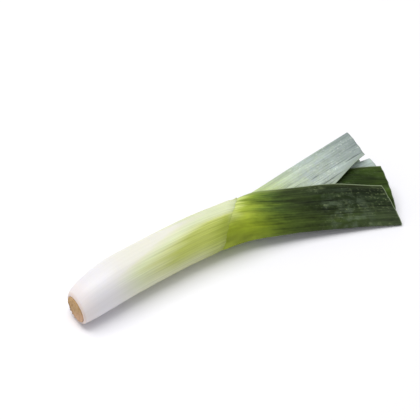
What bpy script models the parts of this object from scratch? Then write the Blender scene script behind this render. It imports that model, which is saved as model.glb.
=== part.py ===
"""A trimmed leek lying on its side: root plate, white shaft and the fan of cut leaves that grow out of it.

Lengths are in millimetres until the meshes are made. The shaft runs along +X on the floor. The leaves
stand in two ranks, left and right of one plane, the fan. A point of a leaf is given by x, by q across
the shaft in the plane of the fan (+q to the viewer's side, downwards) and by p out of that plane.
"""
import math

import bmesh
import bpy
import numpy as np

# shaft
SHAFT_R = 19.1            # radius of the white shaft
BUTT_X, BUTT_R = -1.9, 12.2   # where it narrows to, and the radius there
BUTT_RUN = 39.9           # length of that narrowing
SINK = 0.15               # how far the underside is pressed flat
HEADING = [(-5, -4, -6.1), (10, 80, 6.0), (80, 165, 8.7)]   # turns of the axis: from x, to x, degrees
MOUTH_X, MOUTH_SLANT, MOUTH_TURN = 151.0, 17.5, 10.0        # cut collar: middle, half its slant, bearing
POCKET_X = 104.0          # depth at which the leaves start
WALL = 0.8                # outermost sheath
INSET = 1.1               # first leaf's surface below the shaft's, inside the collar
SWELL = 0.95              # how much of that it gains back outside the collar

# leaves
TILT = 19.0               # the fan leans over by this many degrees and rests on its first leaf
BLADE = 1.35              # thickness of a leaf
LEVEL = 1.80              # one leaf lies this far inside the one before
LOOSE = 0.45              # and this much more in the upper halves of the blades
PLEAT, PLEAT_LOW, PLEAT_WIDTH = 0.30, 0.10, 9.5   # height of the ridges above and below, and their spacing
NEAR_HALF, FAR_HALF = 13.0, 8.2   # half thickness of the bundle at the cut ends, upper and lower side
# rank, turns of the fold line, width of a half at x = 180, 230 and its end, x of that end, slant of the cut
LEAVES = {
    "leaf_1": (1, [(135, 180, 14.7), (185, 235, 1.3), (235, 290, 3.8)], (41.5, 41.0, 36.5), 281.3, -0.1),
    "leaf_2": (-1, [(145, 190, -12.8), (200, 260, 1.0)], (47.5, 38.0, 28.1), 290.5, -3.3),
    "leaf_3": (1, [(150, 200, 8.2), (200, 290, 11.2)], (42.0, 43.2, 44.3), 285.6, 10.0),
    "leaf_4": (-1, [(155, 200, 0.0)], (36.0, 32.0, 29.0), 293.6, 0.0),
}
HEART_TURN, HEART_END = (155, 210, 8.0), 246.0

# root plate
PLATE_R, PLATE_BACK, PLATE_FACE = 11.3, 0.7, -2.8   # radius, x of its back and of its face
RECESS_R, RECESS_X, LIP_X = 11.7, 1.1, -1.3         # the hollow it sits in, and x of the shaft's lip
STUBS = 26

# linear colour and roughness
FINISHES = {
    "root_plate": ((0.52, 0.34, 0.16), 0.8),
    "shaft": ((0.88, 0.89, 0.80), 0.4),
    "heart": ((0.42, 0.52, 0.16), 0.45),
    "leaf_1": ((0.055, 0.115, 0.03), 0.45),
    "leaf_2": ((0.30, 0.40, 0.33), 0.55),
    "leaf_3": ((0.05, 0.10, 0.025), 0.45),
    "leaf_4": ((0.28, 0.38, 0.30), 0.55),
}
TABLE_X = np.linspace(-5, 330, 1341)


def ramp(x, start, end):
    """0 before start, 1 after end, eased in between."""
    t = np.clip((np.asarray(x, float) - start) / (end - start), 0.0, 1.0)
    return t * t * (3 - 2 * t)


def course(q0, turns):
    """A line q(x) whose heading is the sum of eased turns; q0 at x = 0."""
    slope = np.tan(np.radians(sum(deg * ramp(TABLE_X, a, b) for a, b, deg in turns)))
    steps = (slope[1:] + slope[:-1]) / 2 * np.diff(TABLE_X)
    q = np.concatenate([[0.0], np.cumsum(steps)])
    q = q - np.interp(0.0, TABLE_X, q) + q0
    return lambda x: np.interp(x, TABLE_X, q)


centre = course(0.0, HEADING)
keels = [course(side * (SHAFT_R - INSET - k * LEVEL), HEADING + turns)
         for k, (side, turns, _, _, _) in enumerate(LEAVES.values())]
keels.append(course(SHAFT_R - INSET - len(LEAVES) * LEVEL, HEADING + [HEART_TURN]))


def radius(x):
    """Shaft radius: a round shoulder from the root plate up, then parallel."""
    u = np.clip((x - BUTT_X) / BUTT_RUN, 0.0, 1.0)
    return SHAFT_R - (SHAFT_R - BUTT_R) * (1 - np.sqrt(u)) ** 1.35


def shell_edges(x, k, skin):
    """Limits in q of the k-th nested shell: its own fold on one side, round the next fold on the other."""
    side = 1 if k % 2 == 0 else -1
    own = keels[k](x) - side * skin
    if k + 1 < len(keels):
        other = keels[k + 1](x) - side * (LEVEL - skin)
    else:
        other = centre(x) - side * (SHAFT_R - INSET - k * LEVEL - skin)
    return (own, other) if side > 0 else (other, own)


def bow(d, x, reach):
    """0 at an edge, 1 at d = reach from it: a quarter circle in the shaft, a blunt V in the blades."""
    c = -1 + 1.4 * ramp(x, 140, 220)
    s = np.clip(d / reach, 0.0, 1.0)
    return np.sqrt((2 * s + c * s * s) / (2 + c))


def height(x, q, k, near, skin=0.0):
    """p of the k-th shell, skin mm under its outer face."""
    plus, minus = shell_edges(x, k, skin)
    open_up = ramp(x, 135, 215)
    deep = k * LEVEL + skin
    reach = (SHAFT_R - INSET - deep) * (1 - open_up) + 38.0 * open_up
    flat = ramp(x, 135, 235)
    half = (SHAFT_R - INSET) * (1 - flat) + (NEAR_HALF - k * LOOSE if near else FAR_HALF) * flat - deep
    p = half * bow(plus - q, x, reach) * bow(q - minus, x, reach)
    return p if near else -p


def pleats(x, q, k, near):
    """Parallel ridges along a blade, the same on both its faces, dying out towards the fold and the shaft."""
    d = np.abs(q - keels[k](x))
    size = PLEAT if near else PLEAT_LOW
    return size * ramp(x, 170, 215) * ramp(d, 3, 12) * np.sin(2 * math.pi * d / PLEAT_WIDTH + 1.3 * k)


def place(x, q, p):
    """Fan coordinates to the part's X, Y, Z."""
    tilt = math.radians(TILT)
    m = centre(x)
    across = q - m
    return np.stack([x + 0 * q, -m - across * math.cos(tilt) - p * math.sin(tilt),
                     SHAFT_R - SINK + 0.05 - across * math.sin(tilt) + p * math.cos(tilt)], axis=-1)


def mouth_x(bearing):
    """Where the cut collar of the shaft lies, by the bearing round its axis (0 = +Y, 90 degrees = up)."""
    return MOUTH_X + MOUTH_SLANT * np.cos(bearing - math.radians(MOUTH_TURN))


def swell(points):
    """Outside the collar the first leaf is free of the sheath and fills out again to its width."""
    x, y, z = points[..., 0], points[..., 1], points[..., 2]
    out = np.stack([y + centre(x), z - SHAFT_R + SINK], axis=-1)
    free = x - mouth_x(np.arctan2(out[..., 1], out[..., 0]))
    size = SWELL * ramp(free, 1.0, 9.0) * (1 - ramp(x, 172, 205))
    out = out / np.linalg.norm(out, axis=-1, keepdims=True) * size[..., None]
    return points + np.concatenate([np.zeros_like(size)[..., None], out], axis=-1)


def leaf_faces(k, side, widths, end, slant, rows, cols):
    """Outer and inner face of a leaf as two grids, from the upper margin over the fold to the lower one."""
    even = np.linspace(0, 1, cols)
    s = np.linspace(0, 1, rows)[:, None]
    start = POCKET_X + 0.4
    x = start + (end + slant * even ** 1.2 - start) * s
    plus, minus = shell_edges(x, k, 0.0)
    free = ramp(x, 155, 195)
    round_t = (1 - np.cos(0.88 * math.pi * even)) / (1 - math.cos(0.88 * math.pi))
    t = round_t * (1 - free) + even ** 1.2 * free
    tube = plus - minus - BLADE - 0.6 - 2.5 * free
    blade = widths[0] + (widths[1] - widths[0]) * ramp(x, 180, 230)
    blade = blade + (widths[2] - widths[1]) * ramp(x, 230, end)
    soft = -1.5 * np.log(np.exp(-blade / 1.5) + np.exp(-tube / 1.5))
    width = tube * (1 - free) + soft * free
    faces = []
    for skin in (0.0, BLADE):
        q = keels[k](x) - side * (skin + (width - skin) * t)
        upper = place(x, q, height(x, q, k, True, skin) + pleats(x, q, k, True))
        lower = place(x, q, height(x, q, k, False, skin) + pleats(x, q, k, False))
        faces.append(np.concatenate([upper[:, ::-1], lower[:, 1:]], axis=1))
    if k == 0:
        faces = [swell(face) for face in faces]
    faces[0][..., 2] = np.maximum(faces[0][..., 2], 0.0)
    return faces


def add_object(name, verts, faces, finish, smooth_angle=40.0):
    """A mesh object from points in mm, its faces turned outwards, with a material of its own."""
    mesh = bpy.data.meshes.new(name)
    mesh.from_pydata([tuple(v) for v in np.asarray(verts) / 1000.0], [], faces)
    bm = bmesh.new()
    bm.from_mesh(mesh)
    bmesh.ops.recalc_face_normals(bm, faces=bm.faces)
    if bm.calc_volume(signed=True) < 0:
        bmesh.ops.reverse_faces(bm, faces=bm.faces)
    bm.to_mesh(mesh)
    bm.free()
    mesh.shade_smooth()
    mesh.set_sharp_from_angle(angle=math.radians(smooth_angle))
    obj = bpy.data.objects.new(name, mesh)
    bpy.context.scene.collection.objects.link(obj)
    mat = bpy.data.materials.new(name)
    mat.use_nodes = True
    shader = mat.node_tree.nodes["Principled BSDF"]
    colour, roughness = FINISHES[finish]
    shader.inputs["Base Color"].default_value = (*colour, 1.0)
    shader.inputs["Roughness"].default_value = roughness
    mesh.materials.append(mat)
    return obj


def sheet(name, outer, inner):
    """A closed leaf: both faces cut into the same triangles, and the cut edges between them."""
    rows, cols = outer.shape[:2]
    verts = np.concatenate([outer.reshape(-1, 3), inner.reshape(-1, 3)])
    under = rows * cols
    faces = []
    for i in range(rows - 1):
        for j in range(cols - 1):
            a, b = i * cols + j, i * cols + j + 1
            c, d = a + cols, b + cols
            faces += [(a, b, d), (a, d, c)]
            faces += [(under + a, under + d, under + b), (under + a, under + c, under + d)]
    loop = list(range(cols)) + [i * cols + cols - 1 for i in range(1, rows)]
    loop += [(rows - 1) * cols + j for j in range(cols - 2, -1, -1)]
    loop += [i * cols for i in range(rows - 2, 0, -1)]
    for a, b in zip(loop, loop[1:] + loop[:1]):
        faces += [(a, under + b, b), (a, under + a, under + b)]
    return add_object(name, verts, faces, name)


def loft(name, rings):
    """A closed body through rings of equal count, its two ends filled."""
    rings = np.asarray(rings)
    count, around = rings.shape[:2]
    faces = []
    for i in range(count - 1):
        for j in range(around):
            k = (j + 1) % around
            faces.append((i * around + j, i * around + k, (i + 1) * around + k, (i + 1) * around + j))
    faces.append(tuple(range(around - 1, -1, -1)))
    faces.append(tuple((count - 1) * around + j for j in range(around)))
    return add_object(name, rings.reshape(-1, 3), faces, name)


def make_shaft(around=36):
    """The false stem: butt with its recess, shaft, slanted collar and the pocket the leaves stand in."""
    turn = np.radians(np.arange(around) * 360 / around - 90 + 180 / around)
    rings = []

    def ring(x, r, lift):
        x = np.broadcast_to(x, turn.shape)
        z = r + lift + r * np.sin(turn)
        rings.append(np.stack([x, -centre(x) + r * np.cos(turn), np.maximum(z, 0.0)], axis=-1))

    axis = radius(LIP_X) - SINK
    for x in (RECESS_X, LIP_X):
        ring(x, RECESS_R, axis - RECESS_R)
    for x in (LIP_X, -0.3, 1.5, 5.0, 10.0, 17.0, 26.0, 38.0, 52.0, 68.0, 86.0, POCKET_X):
        ring(x, radius(x), -SINK)
    mouth = mouth_x(turn)
    for s in (0.25, 0.5, 0.75, 1.0):
        ring(POCKET_X + (mouth - POCKET_X) * s, SHAFT_R, -SINK)
    for s in (1.0, 0.66, 0.33, 0.0):
        ring(POCKET_X + (mouth - POCKET_X) * s, SHAFT_R - WALL, WALL - SINK + 0.05)
    return loft("shaft", rings)


def make_heart(rows=16, around=28):
    """The youngest leaves, still rolled in one another, cut off short."""
    k = len(LEAVES)
    turn = np.arange(around) * 2 * math.pi / around
    rings = []
    for x in np.linspace(POCKET_X + 0.4, HEART_END, rows):
        x = np.full(around, x)
        plus, minus = shell_edges(x, k, 0.3)
        q = (plus + minus) / 2 + (plus - minus) / 2 * np.cos(turn)
        p = np.where(np.sin(turn) >= 0, height(x, q, k, True, 0.3), height(x, q, k, False, 0.3))
        rings.append(place(x, q, p))
    return loft("heart", rings)


def make_root_plate(around=32):
    """The trimmed corky disc and the stubs of the roots cut off it, fused into one body."""
    turn = np.arange(around) * 2 * math.pi / around
    axis = radius(LIP_X) - SINK
    rings = []
    back = [(PLATE_BACK, PLATE_R - 0.6), (PLATE_BACK - 0.5, PLATE_R)]
    edge = [(PLATE_FACE + 1.0, PLATE_R), (PLATE_FACE + 0.5, PLATE_R - 0.5)]
    dome = [(PLATE_FACE + 0.1, PLATE_R - 2.2), (PLATE_FACE - 0.15, PLATE_R - 6.0), (PLATE_FACE - 0.25, 2.0)]
    for x, r in back + edge + dome:
        rings.append(np.stack([np.full(around, x), r * np.cos(turn), axis + r * np.sin(turn)], axis=-1))
    plate = loft("root_plate", rings)
    rng = np.random.default_rng(7)
    verts, faces = [], []
    for i in range(STUBS):
        outer = i < STUBS * 2 // 3
        a = 2 * math.pi * (i / (STUBS * 2 / 3) if outer else i * 0.382) + rng.uniform(-0.12, 0.12)
        reach = rng.uniform(7.9, 9.1) if outer else rng.uniform(2.4, 6.1)
        r, out = rng.uniform(0.45, 0.75), rng.uniform(0.35, 0.9)
        hexagon = np.arange(6) * math.pi / 3 + rng.uniform(0, 1)
        base = len(verts)
        for x, size in ((PLATE_FACE + 1.0, 1.0), (PLATE_FACE - 0.2 - out, 0.85)):
            for b in hexagon:
                y = reach * math.cos(a) + r * size * math.cos(b)
                z = reach * math.sin(a) + r * size * math.sin(b)
                verts.append((x, y, axis + z))
        for j in range(6):
            k = (j + 1) % 6
            faces.append((base + j, base + k, base + 6 + k, base + 6 + j))
        faces += [tuple(base + 5 - j for j in range(6)), tuple(base + 6 + j for j in range(6))]
    stubs = add_object("stubs", verts, faces, "root_plate")
    group = bpy.data.collections.new("stubs")
    bpy.context.scene.collection.children.link(group)
    group.objects.link(stubs)
    fuse = plate.modifiers.new("fuse", "BOOLEAN")
    fuse.operation, fuse.operand_type, fuse.solver = "UNION", "COLLECTION", "EXACT"
    fuse.use_self = True
    fuse.collection = group
    bpy.context.view_layer.update()
    graph = bpy.context.evaluated_depsgraph_get()
    fused = bpy.data.meshes.new_from_object(plate.evaluated_get(graph))
    plate.modifiers.clear()
    plate.data = fused
    bpy.data.objects.remove(stubs, do_unlink=True)
    bpy.data.collections.remove(group)
    return plate


def main():
    """Make every piece, then put the origin at the middle of the whole on the floor."""
    for obj in list(bpy.data.objects):
        bpy.data.objects.remove(obj, do_unlink=True)
    parts = [make_root_plate(), make_shaft(), make_heart()]
    for k, (name, (side, _, widths, end, slant)) in enumerate(LEAVES.items()):
        outer, inner = leaf_faces(k, side, widths, end, slant, rows=24, cols=12)
        parts.append(sheet(name, outer, inner))
    corners = np.array([v.co for obj in parts for v in obj.data.vertices])
    low, high = corners.min(axis=0), corners.max(axis=0)
    shift = np.array([(low[0] + high[0]) / 2, (low[1] + high[1]) / 2, low[2]])
    for obj in parts:
        co = np.empty(len(obj.data.vertices) * 3)
        obj.data.vertices.foreach_get("co", co)
        obj.data.vertices.foreach_set("co", (co.reshape(-1, 3) - shift).ravel())
        obj.data.update()
        print(obj.name, sum(len(p.vertices) - 2 for p in obj.data.polygons), "triangles")
    print("size in mm:", ((high - low) * 1000).round(1), "origin in design mm:", (shift * 1000).round(3))


main()
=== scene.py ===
# %% [markdown]
# # A trimmed leek
#
# A leek is a bundle of leaves. Each leaf is a tube at the bottom, its sheath, and a folded strap at the
# top, its blade. The sheaths sit one in another and make the white shaft; the blades stand in two ranks,
# left and right, like a fan. This one is trimmed: roots and leaf tips are cut off. It lies on its side.
#
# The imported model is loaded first. It gives every piece its place, and each piece made here replaces one
# of its solids with a finer skin of the same form.

# %% Load the frame
import math
from types import SimpleNamespace

import bpy
import numpy as np
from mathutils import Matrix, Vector


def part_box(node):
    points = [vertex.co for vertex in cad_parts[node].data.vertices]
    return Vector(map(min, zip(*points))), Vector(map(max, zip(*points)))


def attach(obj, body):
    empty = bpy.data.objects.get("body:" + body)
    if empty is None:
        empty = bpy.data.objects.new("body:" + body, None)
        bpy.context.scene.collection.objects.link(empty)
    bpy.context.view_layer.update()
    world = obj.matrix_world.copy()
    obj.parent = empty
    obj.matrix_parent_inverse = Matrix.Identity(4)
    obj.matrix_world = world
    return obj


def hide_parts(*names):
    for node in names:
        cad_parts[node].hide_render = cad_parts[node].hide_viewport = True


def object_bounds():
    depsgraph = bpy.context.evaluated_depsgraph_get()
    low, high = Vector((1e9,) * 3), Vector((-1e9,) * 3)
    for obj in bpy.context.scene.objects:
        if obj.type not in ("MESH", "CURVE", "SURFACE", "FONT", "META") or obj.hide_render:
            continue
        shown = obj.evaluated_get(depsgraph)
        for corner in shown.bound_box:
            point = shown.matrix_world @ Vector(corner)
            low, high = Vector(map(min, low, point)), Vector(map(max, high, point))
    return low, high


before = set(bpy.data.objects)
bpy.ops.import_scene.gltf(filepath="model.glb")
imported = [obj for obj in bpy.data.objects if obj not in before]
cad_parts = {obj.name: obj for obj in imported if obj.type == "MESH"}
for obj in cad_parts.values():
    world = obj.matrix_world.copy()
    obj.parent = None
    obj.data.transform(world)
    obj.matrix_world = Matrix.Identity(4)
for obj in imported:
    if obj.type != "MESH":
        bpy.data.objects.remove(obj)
cad_low, cad_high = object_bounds()
print("solids:", sorted(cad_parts))

# %% [markdown]
# ## Measures
#
# All shapes are worked out in millimetres, in the same coordinates that the solids were designed in: x
# along the shaft, the floor at z = 0. The fan of leaves has a plane of its own, with q across it. A turn
# is written as the x where it starts, the x where it stops, and its degrees.

# %% Measures of the shaft and the root plate
SHAFT_R = 19.1
BUTT_X, BUTT_R, BUTT_RUN = -1.9, 12.2, 39.9     # the shoulder: its start, radius there, and length
SINK = 0.15                                     # the underside is pressed flat by this much
HEADING = [(-5, -4, -6.1), (10, 80, 6.0), (80, 165, 8.7)]            # turns of the bowed axis
MOUTH_X, MOUTH_SLANT, MOUTH_TURN = 151.0, 17.5, math.radians(10.0)   # collar: middle, slant, bearing
RAGGED = 0.8                                    # unevenness of the collar's cut
POCKET_X = 104.0                                # floor of the pocket that the leaves stand in
INSET = 1.1                                     # from the shaft's outside in to the first leaf
PLATE_R, PLATE_BACK, PLATE_FACE = 11.3, 0.7, -2.8                    # radius, and x of its two sides
RECESS_R, RECESS_X, LIP_X = 11.45, 1.1, -1.3    # the recess round the plate, its floor, and the shaft's lip

# %% Measures of the leaves
TILT = math.radians(19.0)                       # the fan's plane leans down towards the viewer's side
BLADE = 1.35                                    # thickness of a leaf in the solids
LEVEL, LOOSE = 1.80, 0.45                       # from one leaf in to the next, and a little more when flat
NEAR_HALF, FAR_HALF = 13.0, 8.2                 # how thick the fan is over its plane and under it
PLEAT, PLEAT_LOW, PLEAT_WIDTH = 0.30, 0.10, 9.5     # height over and under the plane, and width
# Each leaf: side of its fold, turns of the fold, widths at x = 180, at x = 230 and at the end, x of the
# end at the fold, and how much further the cut reaches at the margin.
LEAVES = {
    "leaf_1": (1, [(135, 180, 14.7), (185, 235, 1.3), (235, 290, 3.8)], (41.5, 41.0, 36.5), 281.3, -0.1),
    "leaf_2": (-1, [(145, 190, -12.8), (200, 260, 1.0)], (47.5, 38.0, 28.1), 290.5, -3.3),
    "leaf_3": (1, [(150, 200, 8.2), (200, 290, 11.2)], (42.0, 43.2, 44.3), 285.6, 10.0),
    "leaf_4": (-1, [(155, 200, 0.0)], (36.0, 32.0, 29.0), 293.6, 0.0),
}
HEART_TURN, HEART_END = (155, 210, 8.0), 246.0

# %% [markdown]
# The frame has its origin elsewhere, in the middle of the whole box. The distance between the two is read
# from two solids whose place is known: the shaft's lip starts at a given x, and the root plate is centred
# on y = 0.

# %% Find the frame's origin
lip_low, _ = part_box("shaft")
plate_low, plate_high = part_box("root_plate")
origin_mm = np.array([LIP_X - lip_low[0] * 1000, -(plate_low[1] + plate_high[1]) / 2 * 1000, 0.0])
print("frame origin in design coordinates, mm:", origin_mm.round(3))

# %% [markdown]
# ## Small tools for arrays
#
# Everything smooth in this file is built from one easing curve. Natural unevenness comes from sums of
# sine waves with fixed phases, so the leek is the same every time.

# %% Easing and unevenness
def ramp(x, start, end):
    """0 before start, 1 after end; between them t*t*(3 - 2*t), which leaves both ends without a kink."""
    t = np.clip((np.asarray(x, float) - start) / (end - start), 0.0, 1.0)
    return t * t * (3 - 2 * t)


def wander(u, v, seed, octaves=5):
    """Slow unevenness from about -1 to 1: sine waves in turned directions, each finer and weaker."""
    rng = np.random.default_rng(seed)
    total, weight = 0.0, 0.0
    for i in range(octaves):
        turn, phase = rng.uniform(0, 2 * math.pi, 2)
        size = 1.7 ** i
        angle = size * (u * math.cos(turn) + v * math.sin(turn)) * 2 * math.pi + phase
        total = total + np.sin(angle) / size
        weight += 1 / size
    return total / weight * 1.4


def dice(index, seed):
    """A fixed random number from 0 to 1 for each whole number: the fraction left of a large sine."""
    return np.modf(np.abs(np.sin(np.floor(index) * 12.9898 + seed * 78.233) * 43758.5453))[0]


# %% [markdown]
# ## From grids to meshes
#
# A surface that is worked out on a grid has its faces by rule: each cell joins four neighbouring points.
# A closed skin made of several grids shares the points along its joins. Attributes carry what the
# materials need to know about a point: where it is along and across the leaf, and how far from a cut.

# %% Mesh helpers
def cells(rows, cols, start=0, wrap=False, flip=False):
    """The four corners of each cell of a grid whose points are numbered row by row from start."""
    i, j = np.meshgrid(np.arange(rows - 1), np.arange(cols if wrap else cols - 1), indexing="ij")
    k = (j + 1) % cols
    corners = [i * cols + j, i * cols + k, (i + 1) * cols + k, (i + 1) * cols + j]
    quads = np.stack(corners, axis=-1).reshape(-1, 4) + start
    return quads[:, ::-1] if flip else quads


def add_piece(name, points_mm, quads, caps=(), attributes=None):
    """A mesh object at the origin from points in design millimetres, quads and a few many-sided caps."""
    points = (np.asarray(points_mm, float) - origin_mm) / 1000.0
    # A fine curve bulges some hundredths of a millimetre past flat facets, so it is drawn in to their box.
    kept = np.clip(points, cad_low, cad_high)
    past = np.abs(kept - points).max() * 1000
    faces = [tuple(q) for q in quads.tolist()] + [tuple(c) for c in caps]
    mesh = bpy.data.meshes.new(name)
    mesh.from_pydata(kept.tolist(), [], faces)
    for key, values in (attributes or {}).items():
        values = np.asarray(values, np.float32)
        kind, field = ("FLOAT_VECTOR", "vector") if values.ndim == 2 else ("FLOAT", "value")
        mesh.attributes.new(key, kind, "POINT").data.foreach_set(field, values.ravel())
    mesh.shade_smooth()
    piece = bpy.data.objects.new(name, mesh)
    bpy.context.scene.collection.objects.link(piece)
    print(name, len(kept), "points,", len(quads) * 2, "triangles, drawn in by", round(past, 3), "mm")
    return piece


# %% [markdown]
# ## The lines that the leek is built on
#
# The shaft is bowed, and each leaf's fold line leaves it at its own angle. Such a line could be drawn as
# a curve by hand. Here it is given by its turns, because they can be measured one by one: where it starts
# to turn, where it stops, and by how much. Adding up the slopes gives the line.

# %% The axis and the fold lines
TABLE_X = np.linspace(-5, 330, 1341)     # the lines are kept as tables, a point every quarter millimetre


def course(q0, turns):
    """q(x): the running sum of a slope whose angle is the sum of eased turns; it is q0 at x = 0."""
    slope = np.tan(np.radians(sum(deg * ramp(TABLE_X, a, b) for a, b, deg in turns)))
    steps = (slope[1:] + slope[:-1]) / 2 * np.diff(TABLE_X)
    q = np.concatenate([[0.0], np.cumsum(steps)])
    q = q - np.interp(0.0, TABLE_X, q) + q0
    return lambda x: np.interp(x, TABLE_X, q)


centre = course(0.0, HEADING)
folds = [course(side * (SHAFT_R - INSET - k * LEVEL), HEADING + turns)
         for k, (side, turns, _, _, _) in enumerate(LEAVES.values())]
folds.append(course(SHAFT_R - INSET - len(LEAVES) * LEVEL, HEADING + [HEART_TURN]))
print("fold lines end at q =", [float(round(fold(285), 1)) for fold in folds])

# %% [markdown]
# ## Nested shells
#
# The sheaths and blades never cross, because each lies a step inside the one before. Near the shaft a
# shell is round. Further up it flattens into a folded blade. One function gives its height above the
# plane of the fan; it is a quarter circle at first and slowly becomes a blunt V.

# %% Heights of the shells
OPEN_REACH = 38.0     # mm from its fold at which an opened blade has its full height


def shell_edges(x, k, skin):
    """Limits of shell k in q: its own fold on one side, on the other a step round the next leaf's fold."""
    side = 1 if k % 2 == 0 else -1
    own = folds[k](x) - side * skin
    if k + 1 < len(folds):
        other = folds[k + 1](x) - side * (LEVEL - skin)
    else:
        other = centre(x) - side * (SHAFT_R - INSET - k * LEVEL - skin)
    return (own, other) if side > 0 else (other, own)


def bow(d, x, reach):
    """0 at an edge, 1 at the distance reach: the root of 2s + c s s, with c from -1, a circle, to 0.4."""
    c = -1 + 1.4 * ramp(x, 140, 220)
    s = np.clip(d / reach, 0.0, 1.0)
    return np.sqrt((2 * s + c * s * s) / (2 + c))


def height(x, q, k, near, skin=0.0):
    """Height p of shell k over the fan's plane, skin mm under its outer face; negative under the plane."""
    plus, minus = shell_edges(x, k, skin)
    open_up = ramp(x, 135, 215)
    deep = k * LEVEL + skin
    reach = (SHAFT_R - INSET - deep) * (1 - open_up) + OPEN_REACH * open_up
    flat = ramp(x, 135, 235)
    half = (SHAFT_R - INSET) * (1 - flat) + (NEAR_HALF - k * LOOSE if near else FAR_HALF) * flat - deep
    p = half * bow(plus - q, x, reach) * bow(q - minus, x, reach)
    return p if near else -p


# %% [markdown]
# ## The fan in space, and the collar
#
# The fan's plane is turned about the shaft's axis by its tilt. The collar is where the outermost sheath
# was cut: a plane cut across the shaft, a little ragged. It has to lie close on the first leaf, so the
# leaf's distance from the axis is looked up along each bearing.

# %% Places in the fan and round the collar
LEAF_AXIS = SHAFT_R - SINK + 0.05     # height of the leaves' axis over the floor
HALVINGS = 30                         # enough to find a radius to a millionth of a millimetre


def place(x, q, p):
    """From the fan's plane to space: q and p are turned by the tilt about the shaft's axis."""
    m = centre(x)
    across = q - m
    return np.stack([x + 0 * q, -m - across * math.cos(TILT) - p * math.sin(TILT),
                     LEAF_AXIS - across * math.sin(TILT) + p * math.cos(TILT)], axis=-1)


def mouth_x(bearing):
    """x of the collar by the bearing round the axis (0 = +Y, up = 90 degrees): a slightly ragged cosine."""
    torn = wander(1.3 * np.cos(bearing), 1.3 * np.sin(bearing), 9)
    return MOUTH_X + MOUTH_SLANT * np.cos(bearing - MOUTH_TURN) + RAGGED * torn


def first_leaf_radius(x, bearing):
    """Distance from the axis to shell 0 along a bearing: a range is halved until it ends on the shell."""
    shape = np.broadcast(x, bearing).shape
    low, high = np.zeros(shape), np.full(shape, 60.0)
    turn = bearing - TILT
    for _ in range(HALVINGS):
        r = (low + high) / 2
        q = centre(x) - r * np.cos(turn)
        half = np.where(np.sin(turn) >= 0, height(x, q, 0, True), -height(x, q, 0, False))
        outside = r * np.abs(np.sin(turn)) >= half
        low, high = np.where(outside, low, r), np.where(outside, r, high)
    return high


# %% [markdown]
# ## The shaft
#
# The false stem is white below, where earth was heaped round it, and turns green towards the light. Its
# outermost sheath ends in a slanted collar, thinned at its edge and lying close on the first leaf. It
# could be a lathed shape bent by a curve modifier. Here it is one grid of rings, from the recess of the
# root plate over the outside to the collar and back down the inside, since then bow, flat underside and
# slanted collar are all plain arithmetic on the same rows.

# %% Shape of the shaft
SWELL = 0.95          # mm that the first leaf fills out again beyond the collar
SHAFT_VEINS = 58      # raised veins round the shaft, 2 mm apart: coarser than real ones, so that they show


def radius(x):
    """Shaft radius: a round shoulder that starts steeply at the butt and runs out level."""
    u = np.clip((x - BUTT_X) / BUTT_RUN, 0.0, 1.0)
    return SHAFT_R - (SHAFT_R - BUTT_R) * (1 - np.sqrt(u)) ** 1.35


def leaf_rise(free):
    """How far the first leaf has filled out, by its distance beyond the collar (negative: inside)."""
    return SWELL * ramp(free, -6.0, 4.0)


def shaft_relief(x, bearing):
    """Grooves between veins, each of its own depth, and slow hollows; never over the plain radius, mm."""
    arc = bearing / (2 * math.pi) * SHAFT_VEINS
    groove = (0.5 - 0.5 * np.cos(2 * math.pi * arc)) * (0.3 + 0.7 * dice(arc, 3))
    slow = wander(x / 95, 0.5 * np.cos(bearing), 5) + wander(x / 130, 0.5 * np.sin(bearing), 6)
    return -0.07 * groove * ramp(x, 30, 100) - 0.12 * (1 - np.tanh(slow)) * ramp(x, 2, 40)


# %% [markdown]
# The rings start on the floor of the recess, run over the rounded lip and along the side. The leek lies
# on its shaft, so a ring that would dip under the floor is pressed flat on it.

# %% Rings of the butt and the side
AROUND = 384          # points in each ring of the shaft
shaft_bearing = np.arange(AROUND) * 2 * math.pi / AROUND - math.pi / 2 + math.pi / AROUND


def ring(x, r, middle):
    """A ring round the axis: a circle of radius r about the height middle, cut off at the floor."""
    z = middle + r * np.sin(shaft_bearing)
    y = -centre(x) + r * np.cos(shaft_bearing)
    return np.stack([x + 0 * shaft_bearing, y, np.maximum(z, 0.0)], axis=-1)


def butt_rings():
    """The recess as a short tube, then the lip as two quarter ellipses over its thickness."""
    axis = radius(LIP_X) - SINK
    rings = [ring(x, RECESS_R, axis) for x in np.linspace(RECESS_X, LIP_X + 0.5, 3)]
    lip_r = radius(LIP_X + 0.5)
    middle, half = (RECESS_R + lip_r) / 2, (lip_r - RECESS_R) / 2
    for turn in np.linspace(0, math.pi, 9):
        r = middle - half * math.cos(turn)
        fall = half * (0.25 if turn < math.pi / 2 else 0.8)   # nearly level on the root plate's side
        rings.append(ring(LIP_X + fall * (1 - math.sin(turn)), r, axis if turn < 2 else r - SINK))
    return rings


def side_rings():
    """The plain radius with its relief, closer together on the shoulder; each ring stands on the floor."""
    shoulder = LIP_X + 0.9 + (BUTT_RUN - 1) * np.linspace(0, 1, 34)[1:] ** 1.8
    rings = []
    for x in np.concatenate([shoulder, np.linspace(40, POCKET_X, 45)]):
        r = radius(x) + shaft_relief(x, shaft_bearing)
        rings.append(ring(x, r, r - SINK))
    return rings


# %% [markdown]
# Towards the collar each ring slants more, and the sheath thins out until its edge lies on the leaf. Then
# the rings go back down inside, as the lining of the pocket.

# %% Rings of the collar and the lining
THIN_RUN = 9.0        # mm over which the outermost sheath thins out to its edge
EDGE = 0.12           # mm that the edge stands above the first leaf
shaft_mouth = mouth_x(shaft_bearing)


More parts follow.
